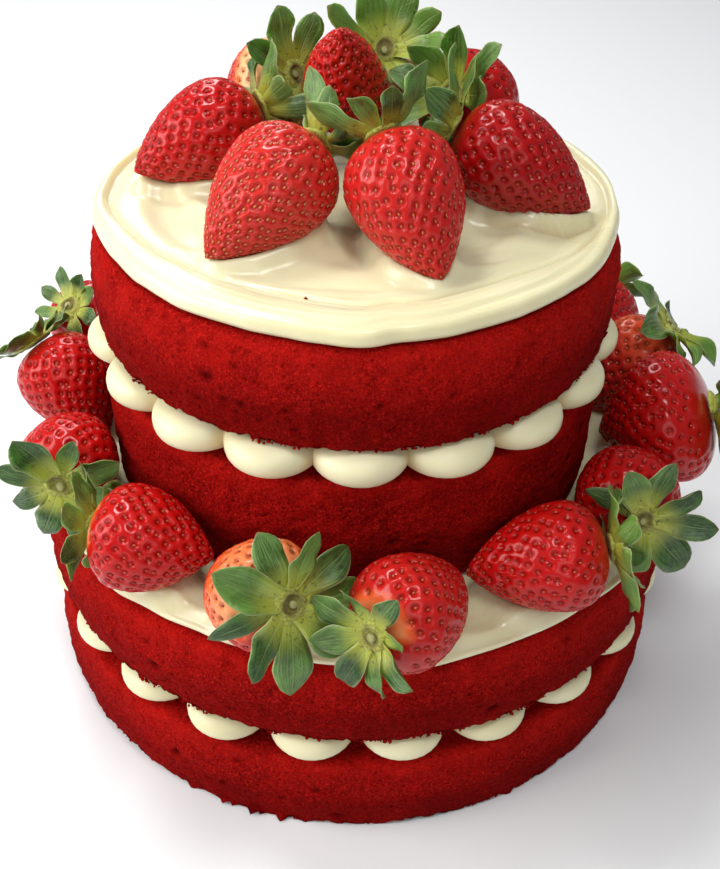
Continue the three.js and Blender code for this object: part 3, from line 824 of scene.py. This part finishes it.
def add_shelf_cream():
    """Cream on the lower tier, which runs on under the upper tier."""
    low, high = box_mm("cream_shelf")
    angles = ring_angles(SHELF_RINGS)
    edge = (SHELF_EDGE + cream_run(angles, 31, SHELF_DRIPS))[:, None]
    inner_radius = 73.0
    radius = edge - 1.2 + (inner_radius - edge + 1.2) * np.linspace(0, 1, 34)
    flat = spin(angles, radius, 0.0)
    inward = edge - radius
    height = 3.9 * ease(inward, -1.5, 4.5) - 0.2
    height += 0.35 * noise(flat, 16, 41) + 0.2 * noise(flat, 6, 42)
    height += 0.05 * np.sin(radius * 2.2 + 2 * noise(flat, 15, 43))
    height += 0.5 * bell(inward - 4, 2.2)
    top = spin(angles, radius, low[2] + np.clip(height, 0.6, 5.0))
    lip = [(2.0, 0.0), (1.0, 0.15), (0.2, 0.6), (0.0, 1.1), (0.4, 1.9)]
    grid, first = cream_surface(angles, edge, lip, low[2], top)
    near = press_round_berries(grid[:, first:])
    inside = norm(grid[..., :2], axis=-1) < UPPER_INSIDE
    grid[..., 2] = np.where(inside, np.minimum(grid[..., 2], high[2]), grid[..., 2])
    grid = np.concatenate([grid, spin(angles, [30.0], high[2])], axis=1)
    mesh = Mesh()
    # Painted shade where the cream meets a berry
    add_spun(mesh, grid, juice=np.pad(near**1.5, ((0, 0), (first, 1))), streak=0.6)
    mesh.build("look_cream_shelf", [CREAM], ["cream_shelf"])


# Strawberries
def berry_pose(node):
    """Where the cap's pole is, the direction of the tip, the length and the radius."""
    points = np.unique(cad_points(node).round(3), axis=0)
    tip = points[np.argmax(norm(points - points.mean(axis=0), axis=1))]
    pole = points[np.argmax(norm(points - tip, axis=1))]
    length = norm(tip - pole)
    axis = (tip - pole) / length
    radius = norm(np.cross(points - pole, axis), axis=1).max()
    return pole, axis, length, radius * FLESH_SHARE


def berry_profile(share):
    low = np.clip((WIDEST - share) / WIDEST, 0, 1)
    high = np.clip((share - WIDEST) / (1 - WIDEST), 0, 1)
    shoulder = np.maximum(0, 1 - low**2) ** (SHOULDER_POWER / 2)
    return np.where(share < WIDEST, shoulder, np.maximum(0, np.cos(high * math.pi / 2)) ** TIP_POWER)


def axis_frame(axis):
    """Two directions across an axis, the second as far up as can be, and the axis."""
    side = unit(np.cross([0, 0, 1], axis))
    return np.array([side, np.cross(axis, side), axis])


class Berry:
    """A strawberry in the place of a CAD one: z runs from the pole at its cap to its tip."""

    def __init__(self, node, seed):
        self.pole, self.axis, self.length, self.radius = berry_pose(node)
        self.directions = axis_frame(self.axis)
        self.seed = seed
        self.look = {**USUAL_LOOK, **BERRY_LOOKS.get(node, {})}
        self.rng = np.random.default_rng(seed)

        # Shares of the length, and how far each lies along the outline from cap to tip
        self.fine = (1 - np.cos(np.linspace(0, math.pi, 900))) / 2
        across = berry_profile(self.fine) * self.radius
        steps = np.hypot(np.diff(across), np.diff(self.fine) * self.length)
        self.run = np.concatenate([[0], np.cumsum(steps)])

    def place(self, angle, part):
        """Places on the berry, before its dimples, for angles and shares of the length."""
        around = polar(1, angle, part * 1.6)
        lumps = 1 + 0.035 * noise(around, 0.9, self.seed)
        lumps += 0.02 * noise(around, 0.45, self.seed + 1)
        reach = self.radius * berry_profile(part) * lumps
        return polar(reach, angle, part * self.length)

    def turned(self, points):
        """Points of the berry in the cake's frame."""
        return points @ self.directions + self.pole

    def seeds(self):
        """Seeds in a spiral, closer towards the tip: places, and the three directions of each."""
        side_area = 2.05 * self.radius * self.length * TURN / 2
        count = int(side_area / self.look["spacing"])
        weight = (berry_profile(self.fine) * self.radius + 0.9) * np.gradient(self.run)
        weight = weight * (0.75 + 0.6 * self.fine) * ease(self.fine, 0.03, 0.1)
        total = np.cumsum(weight)
        share = np.interp((np.arange(count) + 0.5) / count * total[-1], total, self.fine)
        share = np.clip(share + self.rng.normal(0, 0.009, count), 0.04, 0.985)
        angle = np.arange(count) * GOLDEN_ANGLE + self.rng.normal(0, 0.035, count)
        places = self.place(angle, share)
        ahead = unit(self.place(angle, np.minimum(share + 0.01, 0.999)) - places)
        around = np.stack([-np.sin(angle), np.cos(angle), 0 * angle], axis=-1)
        return places, ahead, around, unit(np.cross(around, ahead))

    def ripeness(self, share, angles):
        """How ripe the flesh is, from 0 to 1."""
        pale, least = self.look["pale"], self.look["least"]
        ripe = ease(share, pale * 0.35, pale * 1.5 + 0.05) if pale else 1.0
        ripe = least + (1 - least) * ripe
        if "side" in self.look:
            facing = np.cos(angles - math.radians(self.look["side"]))[:, None]
            ripe = np.clip(ripe + ease(-facing, -0.4, 0.5), 0, 1)
        return ripe


def nearest_seed(grid, seeds):
    """How far each place of a grid is from the nearest seed."""
    flat = grid.reshape(-1, 3)
    nearest = np.zeros(len(flat))
    batch = 2000
    for start in range(0, len(flat), batch):
        gap = flat[start : start + batch, None] - seeds
        nearest[start : start + batch] = np.sqrt((gap**2).sum(-1)).min(axis=1)
    return nearest.reshape(grid.shape[:2])


def add_seeds(mesh, berry, places, ahead, around, outward):
    """The seeds, each a small drop: a ring of six points between a peak and a foot."""
    corner = np.arange(6) / 6 * TURN
    seat = places - outward * SEED_SINK
    body = seat[:, None] + ahead[:, None] * (np.cos(corner) * SEED_LENGTH)[:, None]
    body = body + around[:, None] * (np.sin(corner) * SEED_WIDTH)[:, None]
    ends = seat[:, None] + outward[:, None] * [[SEED_DEPTH], [-SEED_DEPTH]]
    points = berry.turned(np.concatenate([body, ends], axis=1))
    drop = [((k + 1) % 6, k, 6) for k in range(6)] + [(k, (k + 1) % 6, 7) for k in range(6)]
    count = len(places)
    faces = (np.arange(count)[:, None, None] * 8 + drop).reshape(-1, 3)
    mesh.add(points, [faces], 1, pink=np.full(count * 8, berry.look["pink"]))


def add_berry(node, seed):
    """A strawberry with its dimples and seeds."""
    berry = Berry(node, seed)
    along = np.linspace(0.012, 0.992, BERRY_ROWS) * berry.run[-1]
    share = np.interp(along, berry.run, berry.fine)
    angles = ring_angles(BERRY_RINGS)
    grid = berry.place(*np.broadcast_arrays(angles[:, None], share))
    outward = grid_normals(grid)
    seeds = berry.seeds()
    nearest = nearest_seed(grid, seeds[0])
    rise = SWELL * ease(nearest, 0.8, 1.9) - DIMPLE_DEPTH * bell(nearest, DIMPLE_WIDTH)
    grid = grid + outward * rise[..., None]
    look = {name: berry.look[name] for name in ("dark", "pink")}
    ripe = berry.ripeness(share, angles)
    mesh = Mesh()
    add_spun(mesh, berry.turned(grid), 0, ripe=ripe, seed_gap=nearest, **look)
    add_seeds(mesh, berry, *seeds)
    mesh.build(f"look_{node}", [FLESH, SEED], [node])


# Leafy caps
def cap_sepals(node, pole):
    """Two middle points with half widths, and the tip, for each sepal of a CAD cap."""
    points, merged = np.unique(cad_points(node).round(2), axis=0, return_inverse=True)
    beside = [set() for _ in points]
    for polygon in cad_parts[node].data.polygons:
        ids = merged.ravel()[list(polygon.vertices)].tolist()
        for a, b in zip(ids, ids[1:] + ids[:1]):
            if a != b:
                beside[a].add(b)
                beside[b].add(a)
    reach = norm(points - pole, axis=1)
    sepals = []

    # The tip of a sepal has four points beside it, and four beyond those
    for tip, around in enumerate(beside):
        beyond = set().union(*(beside[i] for i in around)) - around - {tip}
        if len(around) != 4 or len(beyond) != 4 or reach[tip] < max(reach[list(around)]):
            continue
        rows = []
        for level in (beyond, around):
            ids = sorted(level)
            pairs = [(a, b) for a in ids for b in ids if a < b]
            apart = [norm(points[a] - points[b]) for a, b in pairs]
            left, right = pairs[int(np.argmax(apart))]
            middle = np.mean([points[i] for i in ids if i not in (left, right)], axis=0)
            rows.append((middle, (points[left] - points[right]) / 2))
        sepals.append((rows, points[tip]))
    return sepals


def add_cap(node, berry, seed):
    """The cap of a berry: its leaves, its hub and the stub of the stem."""
    pole, axis, _, _ = berry_pose(berry)
    rng = np.random.default_rng(seed)
    hub = pole - axis
    directions = axis_frame(axis) * [[1], [-1], [-1]]
    mesh = Mesh()
    tone = rng.uniform(0.0, 0.5)
    on_top = "_top_" in node
    stretch = TOP_LEAF_STRETCH if on_top else 1.0
    fullness = TOP_LEAF_FULLNESS if on_top else RING_LEAF_FULLNESS
    for (row_a, row_b), tip in cap_sepals(node, pole):
        row_a, row_b = [(hub + (at - hub) * stretch, half) for at, half in (row_a, row_b)]
        add_sepal(mesh, hub, axis, row_a, row_b, hub + (tip - hub) * stretch, rng, tone, fullness)

    # The hub with its ring and hollow
    angles = ring_angles(28)
    out, lift = np.array(HUB_OUTLINE).T
    grid = spin(angles, out, lift)
    crinkle = 1 + 0.2 * noise(grid, 2.4, seed + 3)
    grid[..., :2] *= crinkle[..., None] * rng.uniform(0.88, 1.1, 2)
    grid[..., 2] += 0.25 * noise(grid, 1.6, seed + 4)
    brown = bell(out - 2.2, 1.1) * (lift > 0.75)
    brown = brown * (0.7 + 0.5 * noise(grid, 2.0, seed + 5))
    add_spun(mesh, grid @ directions + hub, 1, brown=np.clip(brown, 0, 1))

    # The stub of the stem
    out, lift = np.array(STEM_OUTLINE).T
    grid = spin(angles[::2], out, lift)
    grid[..., :2] += lift[:, None] * rng.uniform(-0.35, 0.35, 2)
    grid[..., :2] *= rng.uniform(0.8, 1.15, 2)
    add_spun(mesh, grid @ directions + hub, 2)
    mesh.build(f"look_{node}", [LEAF, HUB, STEM], [node])


def through(values, places, wanted):
    """A smooth curve through values at places."""
    values, places = np.array(values), np.array(places)
    slope = np.gradient(values, places, axis=0)
    k = np.clip(np.searchsorted(places, wanted, side="right") - 1, 0, len(places) - 2)
    step = places[k + 1] - places[k]
    t = ((wanted - places[k]) / step)[:, None]
    a, b, step = values[k], values[k + 1], step[:, None]
    return (
        (1 + 2 * t) * (1 - t) ** 2 * a
        + t * (1 - t) ** 2 * step * slope[k]
        + t**2 * (3 - 2 * t) * b
        + t**2 * (t - 1) * step * slope[k + 1]
    )


def leaf_outline(t, fullness):
    """Half width along a leaf as a share of the widest: pointed for 0, round for 1."""
    places = [0, 0.12, 0.25, 0.4, 0.52, 0.65, 0.78, 0.88, 0.95, 1]
    pointed = np.array([0.58, 0.62, 0.76, 0.93, 1.0, 0.95, 0.78, 0.52, 0.27, 0.03])
    full = np.array([0.46, 0.5, 0.62, 0.8, 0.92, 1.0, 0.97, 0.8, 0.52, 0.08])
    return np.interp(t, places, pointed + (full - pointed) * fullness)


def add_sepal(mesh, hub, axis, row_a, row_b, tip, rng, tone, fullness):
    """A curled leaf through two rows of the CAD sepal, each a middle point and a half width."""
    toward = row_a[0] - hub
    toward = unit(toward - (toward @ axis) * axis)
    across = np.cross(axis, toward)
    root = hub + toward * (HUB_RADIUS - 2.2) - axis * 0.5
    sides = [half if half @ across > 0 else -half for _, half in (row_a, row_b)]
    widest = norm(sides[0])
    places = [0.0, 0.45, 0.78, 1.0]
    t = np.linspace(0, 1, LEAF_ROWS)
    middle = through([root, row_a[0], row_b[0], tip], places, t)
    inner, outer = unit(sides[0]), unit(sides[1])
    direction = unit(through([across, inner, outer, outer], places, t))
    half_width = widest * rng.uniform(*LEAF_WIDTH) * leaf_outline(t, rng.uniform(*fullness))
    along = unit(np.gradient(middle, axis=0))
    direction = unit(direction - (direction * along).sum(1, keepdims=True) * along)
    outward = np.cross(along, direction)
    flip = np.sign((outward @ -axis).sum()) or 1
    outward = outward * flip
    turned = (rng.uniform(*LEAF_TURN) * t**1.5)[:, None]
    direction, outward = (
        direction * np.cos(turned) + outward * np.sin(turned),
        outward * np.cos(turned) - direction * np.sin(turned),
    )
    u = np.linspace(-1, 1, LEAF_COLUMNS)
    wave = rng.uniform(0, TURN)
    cup = rng.uniform(*LEAF_CUP)
    bend = rng.uniform(*LEAF_BEND)
    sway = rng.uniform(*LEAF_SWAY)
    ripple = 0.14 * np.sin(t[:, None] * rng.uniform(9, 14) + wave + 1.4 * u)
    lift = cup * u**2 + ripple * np.abs(u) ** 1.5 - 0.1 * bell(u, 0.22) * (1 - t[:, None])
    middle = middle + outward * (bend * t**3)[:, None] + direction * (sway * t**2)[:, None]
    face = (
        middle[:, None]
        + direction[:, None] * (u * half_width[:, None])[..., None]
        + outward[:, None] * (lift * half_width[:, None])[..., None]
    )
    thick = LEAF_THICKNESS * (1 - 0.75 * u**4) * (1 - 0.5 * t[:, None])
    half_thick = outward[:, None] * (thick / 2)[..., None]
    over, below = face + half_thick, face - half_thick
    own_tone = np.clip(tone + rng.uniform(-0.35, 0.8), 0, 1)

    # The two faces share the rim, so the leaf is closed
    loop = np.concatenate([over, below[:, ::-1]], axis=1).transpose(1, 0, 2)
    across = np.concatenate([u, u[::-1]])[:, None]
    turn = int(flip)
    add_spun(mesh, loop[::turn], across=across[::turn], along=t[None, :], tone=own_tone)


# The cake
add_sponge(
    "sponge_lower_base", radius=100, rounding=2, seed=101, rings=690,
    crumbs=300, pits=0.45, teeth=BASE_TEETH,
)
add_sponge(
    "sponge_lower_top", radius=100, rounding=3.5, seed=102, rings=690,
    crumbs=520, pits=0.45, torn_rim=0.5,
)
add_sponge(
    "sponge_upper_base", radius=74, rounding=2, seed=103, rings=510,
    crumbs=60, pits=0.6, ragged=0.5,
)
add_sponge(
    "sponge_upper_top", radius=75, rounding=5, seed=104, rings=560,
    crumbs=440, pits=1, torn_rim=1.5,
)
add_filling("filling_lower", LOWER_BALLS, 0.0, 201)
add_filling("filling_upper", UPPER_BALLS, UPPER_TIER_SHIFT, 202)
add_top_cream()
add_shelf_cream()

berry_nodes = sorted(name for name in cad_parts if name.startswith("berry_"))
for number, name in enumerate(berry_nodes):
    add_berry(name, 300 + number * 7)
    add_cap(name.replace("berry_", "cap_"), name, 900 + number * 11)


# The room
def add_floor():
    data = bpy.data.meshes.new("floor")
    half = 4
    corners = [(-half, -half, 0), (half, -half, 0), (half, half, 0), (-half, half, 0)]
    data.from_pydata(corners, [], [(0, 1, 2, 3)])
    floor = bpy.data.objects.new("floor", data)
    bpy.context.collection.objects.link(floor)
    data.materials.append(Nodes("floor_white", (0.78, 0.79, 0.8)).finish(Roughness=0.6))


def add_light(name, place, target, size, power, color=(1, 1, 1)):
    data = bpy.data.lights.new(name, "AREA")
    data.shape = "DISK"
    data.size = size
    data.energy = power
    data.color = color
    light = bpy.data.objects.new(name, data)
    light.location = place
    light.rotation_euler = (Vector(target) - Vector(place)).to_track_quat("-Z", "Y").to_euler()
    bpy.context.collection.objects.link(light)


def add_camera():
    data = bpy.data.cameras.new("camera")
    data.sensor_width = SENSOR
    data.lens = FOCAL_PIXELS / PICTURE_HEIGHT * SENSOR
    camera = bpy.data.objects.new("camera", data)
    right = Vector(CAMERA_RIGHT).normalized()
    back = right.cross(Vector(CAMERA_UP)).normalized()
    up = back.cross(right)
    turned = Matrix((right, up, back)).transposed().to_4x4()
    camera.matrix_world = Matrix.Translation(Vector(CAMERA_PLACE) * MM) @ turned
    bpy.context.collection.objects.link(camera)
    bpy.context.scene.camera = camera


add_floor()
add_light("key", (-0.9, -0.25, 0.62), (0, 0, 0.1), 0.9, 11.6, (1, 0.985, 0.96))
add_light("overhead_back", (-0.3, 0.25, 1.05), (0, 0, 0.1), 0.25, 4.3)
add_light("overhead_front", (0.12, -0.35, 1.1), (0, 0, 0.1), 0.3, 3.5)
add_light("back", (-0.2, 0.8, 0.7), (0, 0, 0.12), 0.4, 3)
add_light("front", (0.1, -1.1, 0.75), (0, 0, 0.1), 0.8, 2.4)
add_camera()
world = bpy.data.worlds.new("room")
world.use_nodes = True
background = world.node_tree.nodes["Background"].inputs
background["Color"].default_value = (0.95, 0.97, 1, 1)
background["Strength"].default_value = 0.23
bpy.context.scene.world = world
bpy.context.scene.view_settings.view_transform = "Standard"
